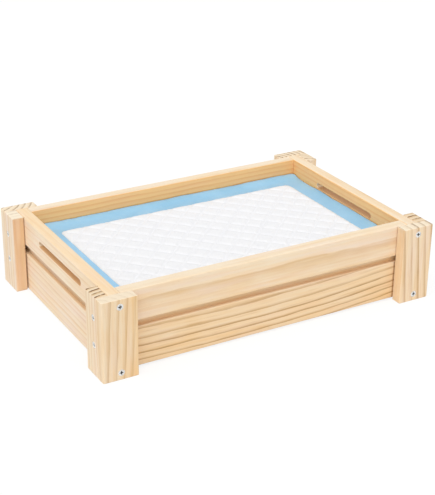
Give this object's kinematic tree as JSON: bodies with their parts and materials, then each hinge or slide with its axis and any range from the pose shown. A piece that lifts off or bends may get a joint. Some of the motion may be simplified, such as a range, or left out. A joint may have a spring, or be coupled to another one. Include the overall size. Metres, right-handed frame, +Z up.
{
  "type": "hay feeder box",
  "caption": "Shallow rectangular pine tray on L-shaped corner posts, with sides of two rails and a sunk strip between, slotted ends and a raised floor under a lift-out pad, to hold hay for small pets.",
  "frame": {"origin": "centre of the footprint, on the ground plane that the corner posts stand on", "axes": "+X along the long side, +Y from the front long side to the back one, +Z up"},
  "size_m": [0.45, 0.3, 0.1],
  "materials": {
    "post_pine": "planed and sanded natural pine, eased edges, unvarnished",
    "rail_pine": "planed and sanded natural pine, rounded long edges, unvarnished",
    "cleat_pine": "planed pine batten, unvarnished",
    "floor_plywood": "5 mm birch plywood, sanded",
    "liner_film": "light blue polyethylene film, satin, fine embossing",
    "liner_pad": "white non-woven top sheet over a thin absorbent core, embossed",
    "zinc_screws": "bright zinc-plated steel",
    "steel_brads": "plain bright steel"
  },
  "bodies": {
    "box": {"front_left_post_face_board": "post_pine", "front_left_post_side_board": "post_pine", "front_right_post_face_board": "post_pine", "front_right_post_side_board": "post_pine", "back_left_post_face_board": "post_pine", "back_left_post_side_board": "post_pine", "back_right_post_face_board": "post_pine", "back_right_post_side_board": "post_pine", "front_upper_rail": "rail_pine", "front_lower_rail": "rail_pine", "back_upper_rail": "rail_pine", "back_lower_rail": "rail_pine", "left_upper_rail": "rail_pine", "left_lower_rail": "rail_pine", "right_upper_rail": "rail_pine", "right_lower_rail": "rail_pine", "front_gap_strip": "rail_pine", "back_gap_strip": "rail_pine", "left_gap_strip": "rail_pine", "right_gap_strip": "rail_pine", "front_floor_cleat": "cleat_pine", "back_floor_cleat": "cleat_pine", "left_floor_cleat": "cleat_pine", "right_floor_cleat": "cleat_pine", "floor_board": "floor_plywood", "front_post_screws": "zinc_screws", "back_post_screws": "zinc_screws", "left_post_screws": "zinc_screws", "right_post_screws": "zinc_screws", "cleat_screws": "zinc_screws", "floor_brads": "steel_brads"},
    "liner": {"liner_film": "liner_film", "liner_pad": "liner_pad"}
  },
  "joints": [
    {"name": "liner_lift", "type": "slide", "parent": "box", "child": "liner", "axis": [0, 0, 1], "range_m": [0, 0.06]}
  ]
}
